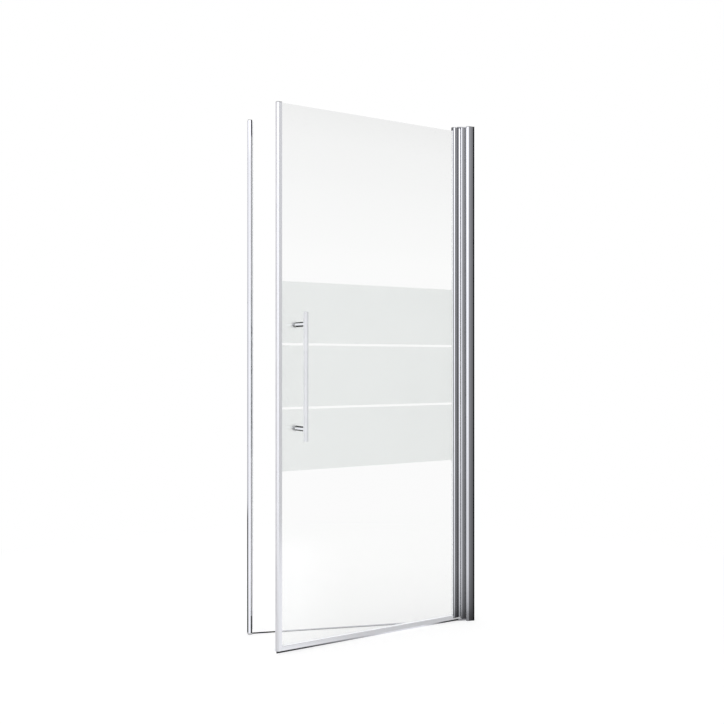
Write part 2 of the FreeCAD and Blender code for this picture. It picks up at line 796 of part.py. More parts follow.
def threshold():
    """Low rail on its tape, between a dark water stop at the strike post and a cap at the pivot."""
    stop_x = strike_mouth_x + s.strike_foot_margin + s.leaf_joint_gap
    start_x = stop_x + s.threshold_stop_length
    cap_end_x = pivot_x - s.post_front - s.threshold_end_gap
    end_x = cap_end_x - s.threshold_cap_length
    stop = new_piece("threshold_stop", "frame")
    stop_section = rectangle(
        -s.threshold_front, zero, -s.threshold_front + s.threshold_stop_width, s.threshold_stop_height,
    )
    pad(stop, "YZ", stop_x, s.threshold_stop_length, stop_section)
    rail = new_piece("threshold_rail", "frame")
    section = [
        (-s.threshold_front, s.threshold_tape_height),
        (s.threshold_rear, s.threshold_tape_height),
        (s.threshold_rear, s.threshold_rear_height),
        (s.threshold_rear / 2, s.threshold_height),
        (-s.threshold_front, s.threshold_height),
    ]
    pad(rail, "YZ", start_x, end_x - start_x, section)
    round_edges(rail, s.threshold_rounding, 0, [(-s.threshold_front, s.threshold_height)])
    tape = new_piece("threshold_tape", "frame")
    strip = rectangle(
        -s.threshold_front + s.threshold_tape_inset, zero,
        s.threshold_rear - s.threshold_tape_inset, s.threshold_tape_height,
    )
    pad(tape, "YZ", start_x, end_x - start_x, strip)
    cap = new_piece("threshold_end_cap", "frame")
    cap_section = [
        (-s.threshold_front, zero),
        (s.threshold_rear, zero),
        (s.threshold_rear, s.threshold_rear_height),
        (s.threshold_rear / 2, s.threshold_height),
        (-s.threshold_front, s.threshold_height),
    ]
    pad(cap, "YZ", end_x, s.threshold_cap_length, cap_section)


# ---- Door leaf, drawn closed from the pivot axis: the free edge lies towards -X ----


def glass_panel():
    """Toughened glass with two holes for the handle."""
    body = new_piece("glass_panel", "door")
    sheet_outline = rectangle(-glass_end, glass_bottom, -glass_start, glass_top)
    holes = [ring(-handle_reach, z, s.glass_hole_radius) for z in handle_holes.values()]
    pad(body, "XZ", -half_glass, s.glass_thickness, sheet_outline, *holes)


def frosted_decor():
    """Three bands of frosted foil glued to the inner face of the glass, with clear lines between."""
    body = new_piece("frosted_decor", "door")
    start = closing_start - s.gasket_lip
    end = s.stile_reach + s.stile_gasket_lip
    bands = []
    for number in range(3):
        low = s.decor_bottom + (s.decor_band + s.decor_line) * number
        bands.append(rectangle(-start, low, -end, low + s.decor_band))
    holes = [ring(-handle_reach, z, s.glass_hole_radius) for z in handle_holes.values()]
    foil = s.decor_thickness - s.decor_glue
    pad(body, "XZ", -(half_glass + s.decor_thickness), foil, *bands, *holes)


def stile_face():
    """Corners of the stile's outer face, from the pivot axis over the ridge to the glass slot."""
    lip_half = half_glass + s.stile_gasket + s.stile_slot_wall
    return [
        (zero, -s.flute_half),
        (-s.flute_reach, -s.flute_half),
        (-s.stile_body_reach, -s.knuckle_radius),
        (-s.stile_lip_reach, -lip_half),
        (-s.stile_reach, -lip_half),
    ]


def stile_back():
    """Corners of the stile's plain inner face, from the mouth of the glass slot to the pivot axis."""
    lip_half = half_glass + s.stile_gasket + s.stile_slot_wall
    return [
        (-s.stile_reach, lip_half),
        (-s.stile_lip_reach, lip_half),
        (-s.stile_body_reach, s.knuckle_radius),
        (zero, s.knuckle_radius),
    ]


def knuckle(body, start, height):
    """Round end of the stile's outline about the pivot axis, with the flat bead beside the flute."""
    radius = s.knuckle_radius
    pad(body, "XY", start, height, ring(zero, zero, radius))
    beyond = radius + s.knuckle_clearance
    bead = [
        (zero, -radius),
        (-s.bead_reach, -s.flute_half),
        (-beyond, -s.flute_half),
        (-beyond, -beyond),
    ]
    cut(body, "XY", start, height, bead)


def hinge_stile():
    """Profile that clamps the glass and turns about the pivots. Its knuckle is round about the axis."""
    body = new_piece("hinge_stile", "door")
    height = stile_top - stile_bottom
    slot_half = half_glass + s.stile_gasket
    slot = [
        (-s.stile_reach, -slot_half),
        (-stile_slot_end, -slot_half),
        (-stile_slot_end, slot_half),
        (-s.stile_reach, slot_half),
    ]
    pad(body, "XY", stile_bottom, height, stile_face() + slot + stile_back())
    knuckle(body, stile_bottom, height)
    inner = s.knuckle_radius - s.stile_wall
    chamber = rectangle(-s.stile_chamber_end, -s.stile_chamber_front, zero, inner)
    cut(body, "XY", stile_bottom, height, chamber)
    cut(body, "XY", stile_bottom, height, ring(zero, zero, inner))


def stile_gaskets():
    """Gaskets between the stile's slot and the glass."""
    slot_half = half_glass + s.stile_gasket
    lip_half = slot_half + s.stile_slot_wall / 2
    slot_end = stile_slot_end + s.stile_gasket
    tip = s.stile_reach + s.stile_gasket_lip
    section = [
        (-slot_end, half_glass),
        (-tip, half_glass),
        (-tip, lip_half),
        (-s.stile_reach, lip_half),
        (-s.stile_reach, slot_half),
        (-slot_end, slot_half),
    ]
    low = rail_top + s.gasket_lip + s.leaf_joint_gap
    for label, outline in (("hinge_gasket_inner", section), ("hinge_gasket_outer", mirrored(section))):
        body = new_piece(label, "door")
        pad(body, "XY", low, glass_top - low, outline)


def block_plug(body, plug_z, bush_z):
    """Plug of an end block that fills the stile's chamber, with the bore for the bush."""
    plug_half = s.knuckle_radius - s.stile_wall - s.block_clearance
    plug = rectangle(
        -(s.stile_chamber_end - s.block_clearance), -(s.stile_chamber_front - s.block_clearance),
        zero, plug_half,
    )
    pad(body, "XY", plug_z, s.block_plug_length, plug)
    pad(body, "XY", plug_z, s.block_plug_length, ring(zero, zero, plug_half))
    cut(body, "XY", bush_z, s.bush_length, ring(zero, zero, bush_radius + s.screw_clearance))


def block_plate(body, reach, front, radius, bottom, height):
    """Plate of an end block, round about the pivot axis and reaching out to front on its outer side."""
    pad(body, "XY", bottom, height, rectangle(-reach, -front, zero, radius))
    pad(body, "XY", bottom, height, ring(zero, zero, radius))


def pivot_bush(label, bottom):
    """Plastic bush that turns on the pivot pin."""
    body = new_piece(label, "door")
    pad(body, "XY", bottom, s.bush_length, ring(zero, zero, bush_radius), ring(zero, zero, pin_hole_radius))


def top_pivot():
    """Block in the top end of the stile, closed by a thin plate of the stile's outline, and its bush."""
    body = new_piece("stile_top_block", "door")
    pad(body, "XY", stile_top, s.top_flange, stile_face() + stile_back())
    knuckle(body, stile_top, s.top_flange)
    bush_z = stile_top + s.top_flange - s.bush_length
    block_plug(body, stile_top - s.block_plug_length, bush_z)
    pivot_bush("top_pivot_bush", bush_z)


def bottom_pivot():
    """Block in the bottom end of the stile, with its bush. Its foot lies in line with the bottom rail."""
    body = new_piece("stile_bottom_block", "door")
    pad(body, "XY", foot_z, s.rail_bottom - foot_z, ring(zero, zero, s.knuckle_radius))
    block_plate(
        body, s.stile_reach, s.knuckle_radius, s.knuckle_radius,
        s.rail_bottom, rail_web_top - s.rail_bottom,
    )
    block_plate(
        body, stile_slot_end, s.stile_chamber_front, s.knuckle_radius - s.stile_wall / 2,
        rail_web_top, stile_bottom - rail_web_top,
    )
    block_plug(body, stile_bottom, foot_z)
    pivot_bush("bottom_pivot_bush", foot_z)


def closing_outline():
    """Outline of the closing stile. Its two sides slope towards the free edge."""
    side = [
        (-closing_end, -(half_frame - s.closing_slope_depth)),
        (-(closing_end - s.closing_slope_reach), -half_frame),
        (-closing_start, -half_frame),
    ]
    return side + mirrored(side)


def closing_stile():
    """Profile on the free edge of the glass, with a chamber for the magnet strip."""
    body = new_piece("closing_stile", "door")
    height = glass_top - s.rail_bottom
    foot_half = s.magnet_half_width + s.frame_wall
    mouth_half = s.magnet_half_width + s.slide_clearance
    pad(body, "XY", s.rail_bottom, height, closing_outline())
    hollows = (
        rectangle(-glass_chamber_end, -half_seat, -glass_chamber_start, half_seat),
        rectangle(-glass_chamber_start, -half_mouth, -closing_start, half_mouth),
        rectangle(-magnet_chamber_end, -foot_half, -magnet_chamber_start, foot_half),
        rectangle(-closing_end, -mouth_half, -magnet_chamber_end, mouth_half),
    )
    for hollow in hollows:
        cut(body, "XY", s.rail_bottom, height, hollow)


def frame_gasket(mouth, seat):
    """Half section of a gasket, from the lip on the glass to its root, read inwards from the mouth."""
    return [
        (mouth - s.gasket_lip, half_glass),
        (mouth + s.rail_gasket_depth, half_glass),
        (mouth + s.rail_gasket_depth, seat - s.screw_clearance),
        (mouth + s.frame_wall + s.screw_clearance, seat - s.screw_clearance),
        (mouth + s.frame_wall + s.screw_clearance, half_mouth - s.screw_clearance),
        (mouth, half_mouth - s.screw_clearance),
        (mouth - s.gasket_lip, half_glass + s.gap_seal_thickness),
    ]


def closing_gaskets():
    """Gaskets between the closing stile and the glass."""
    low = rail_top + s.gasket_lip + s.leaf_joint_gap
    section = [(-x, y) for x, y in frame_gasket(closing_start, half_seat)]
    for label, outline in (("closing_gasket_inner", section), ("closing_gasket_outer", mirrored(section))):
        body = new_piece(label, "door")
        pad(body, "XY", low, glass_top - low, outline)


def door_magnet_strip():
    """Magnetic strip in the closing stile."""
    body = new_piece("door_magnet_strip", "door")
    height = glass_top - s.rail_bottom
    foot_half = s.magnet_half_width + s.frame_wall - s.slide_clearance
    foot = rectangle(-magnet_chamber_end, -foot_half, -(magnet_chamber_end - s.strip_foot), foot_half)
    pad(body, "XY", s.rail_bottom, height, foot)
    tip = rectangle(-leaf_reach, -s.magnet_half_width, -magnet_chamber_end, s.magnet_half_width)
    pad(body, "XY", s.rail_bottom, height, tip)


def closing_stile_cap():
    """Cap on top of the closing stile, with a tongue on each side of the glass in its chamber."""
    body = new_piece("closing_stile_cap", "door")
    pad(body, "XY", glass_top, s.cap_plate, closing_outline())
    gap = s.slide_clearance
    tongue = rectangle(
        -(glass_chamber_end - gap), half_glass + gap,
        -(closing_start + s.rail_gasket_depth + gap), half_seat - gap,
    )
    pad(body, "XY", glass_top - s.cap_peg_length, s.cap_peg_length, tongue, mirrored(tongue))


def bottom_rail():
    """Rail under the glass, grooved along its outer face. It holds the glass and the seals below."""
    body = new_piece("bottom_rail", "door")
    length = rail_end - rail_start
    web_bottom = s.rail_bottom + s.rail_web_height
    lower_lip = s.rail_bottom + s.seal_foot_height / 2
    pad(body, "YZ", -rail_end, length, rectangle(-half_frame, s.rail_bottom, half_frame, rail_top))
    round_edges(body, s.rail_rounding, 0, [(-half_frame, rail_top), (half_frame, rail_top)])
    hollows = (
        rectangle(-half_seat, rail_web_top, half_seat, rail_top - s.frame_wall),
        rectangle(-half_mouth, rail_top - s.frame_wall, half_mouth, rail_top),
        rectangle(-half_seat, lower_lip, half_seat, web_bottom),
        rectangle(-(half_seat - s.frame_wall / 2), s.rail_bottom, half_seat - s.frame_wall / 2, lower_lip),
    )
    for hollow in hollows:
        cut(body, "YZ", -rail_end, length, hollow)
    groove_top = rail_top - s.rail_groove_drop
    groove = rectangle(
        -half_frame, groove_top - s.rail_groove_height, -half_frame + s.rail_groove_depth, groove_top,
    )
    cut(body, "YZ", -rail_end, length, groove)


def rail_gaskets():
    """Gaskets between the bottom rail and the glass."""
    start = s.stile_reach + s.stile_gasket_lip + s.leaf_joint_gap
    end = closing_start - s.gasket_lip - s.leaf_joint_gap
    section = [(-y, rail_top - (x - rail_top)) for x, y in frame_gasket(rail_top, half_seat)]
    mirror_section = [(-x, z) for x, z in reversed(section)]
    for label, outline in (("rail_gasket_outer", section), ("rail_gasket_inner", mirror_section)):
        body = new_piece(label, "door")
        pad(body, "YZ", -end, end - start, outline)


def seal_root(body, near, far, start, end):
    """Foot and neck that hold a seal in the rail's lower chamber, between near and far across the door."""
    web_bottom = s.rail_bottom + s.rail_web_height
    lower_lip = s.rail_bottom + s.seal_foot_height / 2
    neck = (near + far) / 2
    foot = rectangle(near, lower_lip + s.screw_clearance, far, web_bottom - s.screw_clearance)
    pad(body, "YZ", -end, end - start, foot)
    neck_outline = rectangle(
        neck - s.seal_neck / 2, s.rail_bottom - s.slide_clearance,
        neck + s.seal_neck / 2, lower_lip + s.screw_clearance,
    )
    pad(body, "YZ", -end, end - start, neck_outline)


def bottom_seals():
    """Wiper blade under the front of the rail and drip deflector under its back."""
    seal_top = s.rail_bottom - s.slide_clearance
    far = half_seat - s.slide_clearance
    start = rail_start + s.leaf_joint_gap
    end = rail_end - s.leaf_joint_gap
    wiper = new_piece("bottom_wiper", "door")
    blade_front = half_frame - s.slide_clearance
    blade = [
        (-blade_front, seal_top),
        (-(blade_front - s.wiper_blade), seal_top),
        (-(blade_front - s.wiper_blade * 0.75), s.wiper_bottom),
        (-(blade_front - s.wiper_blade * 0.25), s.wiper_bottom),
    ]
    pad(wiper, "YZ", -leaf_reach, leaf_reach - s.wiper_start, blade)
    seal_root(wiper, -far, -s.slide_clearance, start, end)
    deflector = new_piece("drip_deflector", "door")
    plate_bottom = seal_top - s.deflector_plate
    plate = [
        (s.slide_clearance, plate_bottom),
        (s.deflector_reach, plate_bottom),
        (s.deflector_reach, seal_top + s.deflector_tip),
        (s.deflector_reach - s.deflector_plate, seal_top + s.deflector_tip),
        (s.deflector_reach - s.deflector_plate, seal_top),
        (s.slide_clearance, seal_top),
    ]
    pad(deflector, "YZ", -leaf_reach, leaf_reach - s.deflector_start, plate)
    seal_root(deflector, s.slide_clearance, far, s.deflector_start, end)


# ---- Handle ----


def handle_bar():
    """Round tube with a cap at each end."""
    bar_y = -s.handle_stand_off
    inner = s.handle_radius - s.handle_tube_wall
    low = handle_bottom + s.handle_cap_plate
    tube = new_piece("handle_bar", "door")
    high = handle_top - s.handle_cap_plate
    pad(
        tube, "XY", low, high - low,
        ring(-handle_reach, bar_y, s.handle_radius), ring(-handle_reach, bar_y, inner),
    )
    ends = (
        ("handle_cap_upper", high, high - s.handle_cap_plug, high + s.handle_cap_plate),
        ("handle_cap_lower", low - s.handle_cap_plate, low, low - s.handle_cap_plate),
    )
    for label, plate_z, plug_z, rim_z in ends:
        cap = new_piece(label, "door")
        pad(cap, "XY", plate_z, s.handle_cap_plate, ring(-handle_reach, bar_y, s.handle_radius))
        round_rims(cap, s.handle_rounding, s.handle_radius, 2, rim_z)
        plug = ring(-handle_reach, bar_y, inner - s.screw_clearance)
        pad(cap, "XY", plug_z, s.handle_cap_plug, plug)


def handle_fixing(name, z):
    """Standoff, stud, sleeve, washers and inner knob at one hole of the glass."""
    washer_face = half_glass + s.washer_thickness
    inner_face = half_glass + s.decor_thickness + s.washer_thickness
    bore = s.stud_radius + s.screw_clearance
    place = (-handle_reach, z)

    standoff = new_piece(f"standoff_{name}", "door")
    pad(standoff, "XZ", washer_face, s.handle_stand_off - washer_face, ring(*place, s.handle_radius))
    cut(
        standoff, "XY", z - s.handle_radius * 2, s.handle_radius * 4,
        ring(-handle_reach, -s.handle_stand_off, s.handle_radius),
    )
    cut(standoff, "XZ", washer_face, s.stud_grip, ring(*place, bore))

    knob = new_piece(f"knob_{name}", "door")
    knob_end = -(inner_face + s.knob_length)
    pad(knob, "XZ", knob_end, s.knob_length, ring(*place, s.knob_radius))
    round_rims(knob, s.knob_rounding, s.knob_radius, 1, -knob_end)
    cut(knob, "XZ", -(inner_face + s.stud_tail), s.stud_tail, ring(*place, bore))

    stud = new_piece(f"stud_{name}", "door")
    stud_start = -(inner_face + s.stud_tail - s.screw_clearance)
    stud_end = washer_face + s.stud_grip - s.screw_clearance
    pad(stud, "XZ", stud_start, stud_end - stud_start, ring(*place, s.stud_radius))

    sleeve = new_piece(f"sleeve_{name}", "door")
    pad(
        sleeve, "XZ", -half_glass, s.glass_thickness,
        ring(*place, s.glass_hole_radius - s.sleeve_clearance), ring(*place, bore),
    )

    for side, start in (("outer", half_glass), ("inner", -inner_face)):
        washer = new_piece(f"washer_{side}_{name}", "door")
        pad(washer, "XZ", start, s.washer_thickness, ring(*place, s.handle_radius), ring(*place, bore))


def check_and_write():
    """Stops on any failed object, empty cut or bad shape, and then writes every sub-part."""
    doc.recompute()
    for item in doc.Objects:
        if "Invalid" in item.State or "Error" in item.State:
            raise RuntimeError(f"{item.Label} failed: {item.State}")
    for before, after in cuts:
        if after.Shape.Volume > before.Shape.Volume - 1e-6:
            raise RuntimeError(f"{after.Label} cuts nothing")
    for body in pieces:
        if body.Shape.isNull() or not body.Shape.isValid():
            raise RuntimeError(f"{body.Label} has a bad shape")
    os.makedirs("parts", exist_ok=True)
    for body in pieces:
        body.Shape.exportStep(f"parts/{body.Label}.step")
        print(f"{body.Label}: {len(body.Shape.Solids)} solids, {body.Shape.Volume:.0f} mm3")


hinge_wall_channel()
hinge_wall_seal()
hinge_post()
hinge_clamp_screws()
hinge_cap_top()
hinge_gap_seal()
pivots()
strike_wall_channel()
strike_magnet_profile()
strike_magnet_strip()
strike_stop_seal()
strike_clamp_screws()
strike_ends()
threshold()
glass_panel()
frosted_decor()
hinge_stile()
stile_gaskets()
top_pivot()
bottom_pivot()
closing_stile()
closing_gaskets()
door_magnet_strip()
closing_stile_cap()
bottom_rail()
rail_gaskets()
bottom_seals()
handle_bar()
for hole_name, hole_height in handle_holes.items():
    handle_fixing(hole_name, hole_height)
check_and_write()
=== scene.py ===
import math

import bpy
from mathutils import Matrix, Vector


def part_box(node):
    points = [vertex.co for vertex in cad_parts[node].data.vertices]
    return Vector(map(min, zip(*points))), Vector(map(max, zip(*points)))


# Looks of the pivot shower door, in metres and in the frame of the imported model.
# +X points to the hinge side wall, +Y into the shower and +Z up. The door stands open towards -Y.

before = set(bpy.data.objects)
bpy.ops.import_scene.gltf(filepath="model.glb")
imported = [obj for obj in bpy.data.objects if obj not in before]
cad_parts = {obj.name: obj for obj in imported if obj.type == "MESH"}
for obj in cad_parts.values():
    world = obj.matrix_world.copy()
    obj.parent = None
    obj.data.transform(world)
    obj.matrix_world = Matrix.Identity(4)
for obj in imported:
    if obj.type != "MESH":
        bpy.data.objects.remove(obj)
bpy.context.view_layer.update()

LEAF_ANGLE = math.radians(19.8)
MILLIMETRE = 0.001

# The camera stands about halfway up the door and to its left, as in the photograph
CAMERA_PLACE = (-0.8556, -3.5921, 0.9993)
CAMERA_YAW = math.radians(13.31)
CAMERA_PITCH = math.radians(0.083)
SENSOR_WIDTH = 36.0
FOCAL_LENGTH = 48.33

# Studio
AMBIENT = 0.82
KEY_POWER = 24.0
KEY_SIZE = 2.4
KEY_PLACE = (-2.2, -2.4, 3.6)
KEY_AIM = (0.0, 0.0, 0.7)
FLOOR_RADIUS = 9.0
FLOOR_SIDES = 64
FLOOR_DEPTH = 0.0005
FLOOR_TONE = 0.46
FLOOR_GLOW = 0.63
# Distances from the door's middle between which the floor turns plain white
FLOOR_NEAR = 1.2
FLOOR_FAR = 2.4

# Size of the noise that makes the fine lines of a metal, along X, Y and Z
UPRIGHT = (0.0006, 0.0006, 0.3)
ALONG_LEAF = (0.3, 0.0006, 0.0006)
EVEN = (0.004, 0.004, 0.004)
# Depth of those lines, in millimetres
FINE_GROOVE = 0.0006
# How far lines and patches count in a metal's roughness
LINE_WEIGHT = 0.6
PATCH_WEIGHT = 0.4
# Most of the noise lies between these values
NOISE_LOW = 0.3
NOISE_HIGH = 0.7

CHROME_DULL = (0.835, 0.84, 0.85)
CHROME_BRIGHT = (0.875, 0.88, 0.89)
SATIN_DULL = (0.90, 0.905, 0.935)
SATIN_BRIGHT = (0.93, 0.935, 0.965)
BAR_DULL = (0.87, 0.88, 0.905)
BAR_BRIGHT = (0.90, 0.91, 0.935)
# Colour of the painted glow of the pale seals
SEAL_PAINTED_GLOW = (0.95, 0.97, 1.0)

# Painted reflection of the rods: their tone by the height of their normal, from straight down to straight up
ROD_PAINTED_REFLECTION = (
    (0.0, 0.0), (0.27, 0.0), (0.33, 0.95), (0.68, 0.98), (0.73, 0.0), (0.95, 0.0), (0.98, 0.5), (1.0, 0.6),
)
# Painted reflection of the glass: its tone by height, as a share of its own height
GLASS_PAINTED_REFLECTION = (
    (0.0, 0.91), (0.025, 0.925), (0.06, 0.945), (0.1, 0.96), (0.14, 0.975), (0.18, 0.99), (0.24, 1.0),
    (0.66, 1.0), (0.72, 0.995), (0.76, 0.98), (0.84, 0.962), (0.88, 0.946), (0.94, 0.932), (1.0, 0.892),
)
# Painted light and shade of the wiper: its tone along the door, as a share of its length from the free edge
WIPER_PAINTED_LIGHT = (
    (0.0, 0.02), (0.12, 0.04), (0.25, 0.14), (0.36, 0.26), (0.48, 0.5), (0.6, 0.78), (0.8, 0.85),
    (0.87, 0.5), (0.92, 0.05), (1.0, 0.01),
)

# What gloss shows of the room: its brightness by bearing, and by angle above the level, in degrees
ROOM_BY_BEARING = (
    (-180, 0.62), (-168, 0.62), (-163, 1.15), (-140, 1.15), (-134, 0.80), (-115, 0.80), (-106, 1.10),
    (-101, 0.16), (-66, 0.14), (-61, 1.15), (-44, 1.15), (-40, 0.14), (-22, 0.14), (-18, 1.15),
    (17, 1.15), (22, 0.13), (28, 0.155), (34, 0.22), (38, 0.29), (42, 0.42), (46, 0.36), (52, 0.15),
    (59, 0.13), (70, 0.16), (83, 0.25), (100, 0.34), (118, 0.30), (125, 0.45), (150, 0.55),
    (170, 0.62), (180, 0.62),
)
ROOM_BY_HEIGHT = (
    (-90, 0.9), (-45, 0.85), (-30, 0.4), (-20, 0.2), (-14.45, 0.2), (-14.1, 0.42), (-13.7, 0.48),
    (-12, 0.68), (-9, 0.74), (-5, 0.87), (3.7, 1.0), (13.4, 1.2), (45, 1.1), (90, 0.9),
)
# Panels in the room: left, right, bottom and top in degrees, and brightness
PANEL_EDGE = 1.0
ROOM_PANELS = (
    (-176, -171, -20, -9, 0.0),
    (4.5, 7.0, -40, 12, 1.05),
    (44, 50, -40, -11, 1.0),
)


# ---- Node helpers ----


def put(tree, kind, **settings):
    """A node of that kind. A setting whose name is an input's sets the input, any other the node itself."""
    node = tree.nodes.new(kind)
    for name, value in settings.items():
        label = name.replace("_", " ").title()
        if label in node.inputs:
            node.inputs[label].default_value = value
        else:
            setattr(node, name, value)
    return node


def join(tree, output, socket):
    """Links an output to an input."""
    tree.links.new(output, socket)


def math_node(tree, operation, *values):
    """The result of a sum on numbers or outputs."""
    node = tree.nodes.new("ShaderNodeMath")
    node.operation = operation
    for socket, value in zip(node.inputs, values):
        if isinstance(value, bpy.types.NodeSocket):
            join(tree, value, socket)
        else:
            socket.default_value = value
    return node.outputs[0]


def axes(tree, vector):
    """The parts of a vector, by the names X, Y and Z."""
    parts = tree.nodes.new("ShaderNodeSeparateXYZ")
    join(tree, vector, parts.inputs[0])
    return parts.outputs


def object_place(tree, scale=(1, 1, 1), turn=0.0):
    """The place in the piece's own frame, turned about Z and scaled, for patterns that run with it."""
    place = tree.nodes.new("ShaderNodeTexCoord")
    mapping = tree.nodes.new("ShaderNodeMapping")
    mapping.vector_type = "TEXTURE"
    mapping.inputs["Rotation"].default_value = (0, 0, turn)
    mapping.inputs["Scale"].default_value = scale
    join(tree, place.outputs["Object"], mapping.inputs["Vector"])
    return mapping.outputs["Vector"]


def noise(tree, vector, scale=1.0, detail=2.0, roughness=0.5):
    """Smooth noise from 0 to 1."""
    node = put(tree, "ShaderNodeTexNoise", scale=scale, detail=detail, roughness=roughness)
    join(tree, vector, node.inputs["Vector"])
    return node.outputs["Fac"]


def spread(tree, value, low, high, at_low=NOISE_LOW, at_high=NOISE_HIGH):
    """A number from low to high as value goes from at_low to at_high."""
    node = put(tree, "ShaderNodeMapRange", from_min=at_low, from_max=at_high, to_min=low, to_max=high)
    join(tree, value, node.inputs["Value"])
    return node.outputs["Result"]


def share_along(tree, letter, start, end):
    """How far a place lies from start to end along the axis of that letter, from 0 to 1."""
    place = tree.nodes.new("ShaderNodeTexCoord")
    return spread(tree, axes(tree, place.outputs["Object"])[letter], 0.0, 1.0, start, end)


def colours(tree, value, stops):
    """A colour that follows value from 0 to 1 through (place, colour) stops."""
    node = tree.nodes.new("ShaderNodeValToRGB")
    ramp = node.color_ramp
    while len(ramp.elements) < len(stops):
        ramp.elements.new(0.5)
    for element, (place, colour) in zip(ramp.elements, stops):
        element.position = place
        element.color = (*colour, 1)
    join(tree, value, node.inputs["Fac"])
    return node.outputs["Color"]


def patchy(tree, value, dark, light):
    """A colour from dark to light as noise goes over its usual values."""
    return colours(tree, value, [(NOISE_LOW, dark), (NOISE_HIGH, light)])


def bump(tree, height, relief):
    """A normal that stands out by relief, in millimetres, where height goes from 0 to 1."""
    node = put(tree, "ShaderNodeBump", strength=1.0, distance=relief * MILLIMETRE)
    join(tree, height, node.inputs["Height"])
    return node.outputs["Normal"]


def blend(tree, share, first, second):
    """A shader that goes from first to second as share goes from 0 to 1."""
    mix = tree.nodes.new("ShaderNodeMixShader")
    for output, socket in zip((share, first, second), mix.inputs):
        join(tree, output, socket)
    return mix.outputs[0]


def ray(tree, kind):
    """1 for a ray of that kind and 0 for any other."""
    return tree.nodes.new("ShaderNodeLightPath").outputs[kind]


def seen(tree):
    """1 for what the camera sees, straight on or through glass, and 0 for any other way of the light."""
    return math_node(tree, "MAXIMUM", ray(tree, "Is Camera Ray"), ray(tree, "Is Transmission Ray"))


def new_material(name):
    """A material with its node tree and its main shader."""
    material = bpy.data.materials.new(name)
    material.use_nodes = True
    tree = material.node_tree
    return material, tree, tree.nodes["Principled BSDF"]


def show(tree, shader):
    """Makes a shader the surface of its material."""
    join(tree, shader, tree.nodes["Material Output"].inputs["Surface"])


def light_passes(tree, shader, colour):
    """Lets lamp light through, so that a clear piece casts a faint shadow of that colour's depth."""
    clear = put(tree, "ShaderNodeBsdfTransparent", color=(*colour, 1))
    show(tree, blend(tree, ray(tree, "Is Shadow Ray"), shader.outputs[0], clear.outputs[0]))


# ---- Materials ----


def grey(value):
    """A neutral colour."""
    return (value, value, value)


def cool(value):
    """A grey with a touch of blue."""
    return (value * 0.985, value * 0.99, value * 1.05)


def metal(name, dull, bright, smooth, rough, stretch, groove, turn=0.0, metallic=1.0):
    """Metal with fine lines along stretch and soft patches in colour and gloss. Satin is less metallic."""
    material, tree, shader = new_material(name)
    shader.inputs["Metallic"].default_value = metallic
    lines = noise(tree, object_place(tree, stretch, turn), scale=1.0, detail=3.0)
    patches = noise(tree, object_place(tree), scale=9.0, detail=3.0)
    join(tree, patchy(tree, patches, dull, bright), shader.inputs["Base Color"])
    weighed = math_node(tree, "MULTIPLY", patches, PATCH_WEIGHT)
    both = math_node(tree, "MULTIPLY_ADD", lines, LINE_WEIGHT, weighed)
    join(tree, spread(tree, both, smooth, rough), shader.inputs["Roughness"])
    join(tree, bump(tree, lines, groove), shader.inputs["Normal"])
    return material


def rod_with_painted_bands():
    """Polished chrome of a short round bar lying across the door, with painted reflection: dark and bright
    bands set by which way its surface faces.
    """
    material, tree, shader = new_material("rod_chrome")
    shader.inputs["Specular IOR Level"].default_value = 0.1
    shape = tree.nodes.new("ShaderNodeNewGeometry")
    height = spread(tree, axes(tree, shape.outputs["Normal"])["Z"], 0.0, 1.0, -1.0, 1.0)
    # Painted reflection: colour and metal share follow the normal's height, which gives dark and bright bands
    tone = colours(tree, height, [(at, cool(value)) for at, value in ROD_PAINTED_REFLECTION])
    join(tree, tone, shader.inputs["Base Color"])
    join(tree, tone, shader.inputs["Metallic"])
    patches = noise(tree, object_place(tree), scale=60.0, detail=3.0)
    join(tree, spread(tree, patches, 0.04, 0.1), shader.inputs["Roughness"])
    return material


def plastic(name, dark, light, roughness, grain, relief, specular=0.5, glow=0.0):
    """Moulded plastic or rubber with a fine grain. Glow is painted light: an emission that stands in for the
    light that comes through a thin pale piece.
    """
    material, tree, shader = new_material(name)
    shader.inputs["Emission Color"].default_value = (*SEAL_PAINTED_GLOW, 1)
    shader.inputs["Emission Strength"].default_value = glow
    shader.inputs["Specular IOR Level"].default_value = specular
    fine = noise(tree, object_place(tree), scale=grain, detail=4.0, roughness=0.6)
    broad = noise(tree, object_place(tree), scale=grain / 40, detail=2.0)
    join(tree, patchy(tree, broad, dark, light), shader.inputs["Base Color"])
    join(tree, spread(tree, fine, roughness * 0.85, roughness * 1.15), shader.inputs["Roughness"])
    join(tree, bump(tree, fine, relief), shader.inputs["Normal"])
    return material


def clear_glass():
    """Clear toughened glass, with a painted reflection that makes it a little greyer towards its top and
    bottom ends.
    """
    material, tree, shader = new_material("clear_glass")
    shader.inputs["Transmission Weight"].default_value = 1.0
    shader.inputs["IOR"].default_value = 1.5
    shader.inputs["Roughness"].default_value = 0.0
    low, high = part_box("glass_panel")
    share = share_along(tree, "Z", low.z, high.z)
    # Painted reflection: greyer towards the top and bottom ends
    painted_reflection = colours(tree, share, [(at, (tone, tone * 1.004, tone)) for at, tone in GLASS_PAINTED_REFLECTION])
    join(tree, painted_reflection, shader.inputs["Base Color"])
    ripple = noise(tree, object_place(tree), scale=1.6, detail=1.0)
    join(tree, bump(tree, ripple, 0.02), shader.inputs["Normal"])
    light_passes(tree, shader, grey(0.94))
    return material


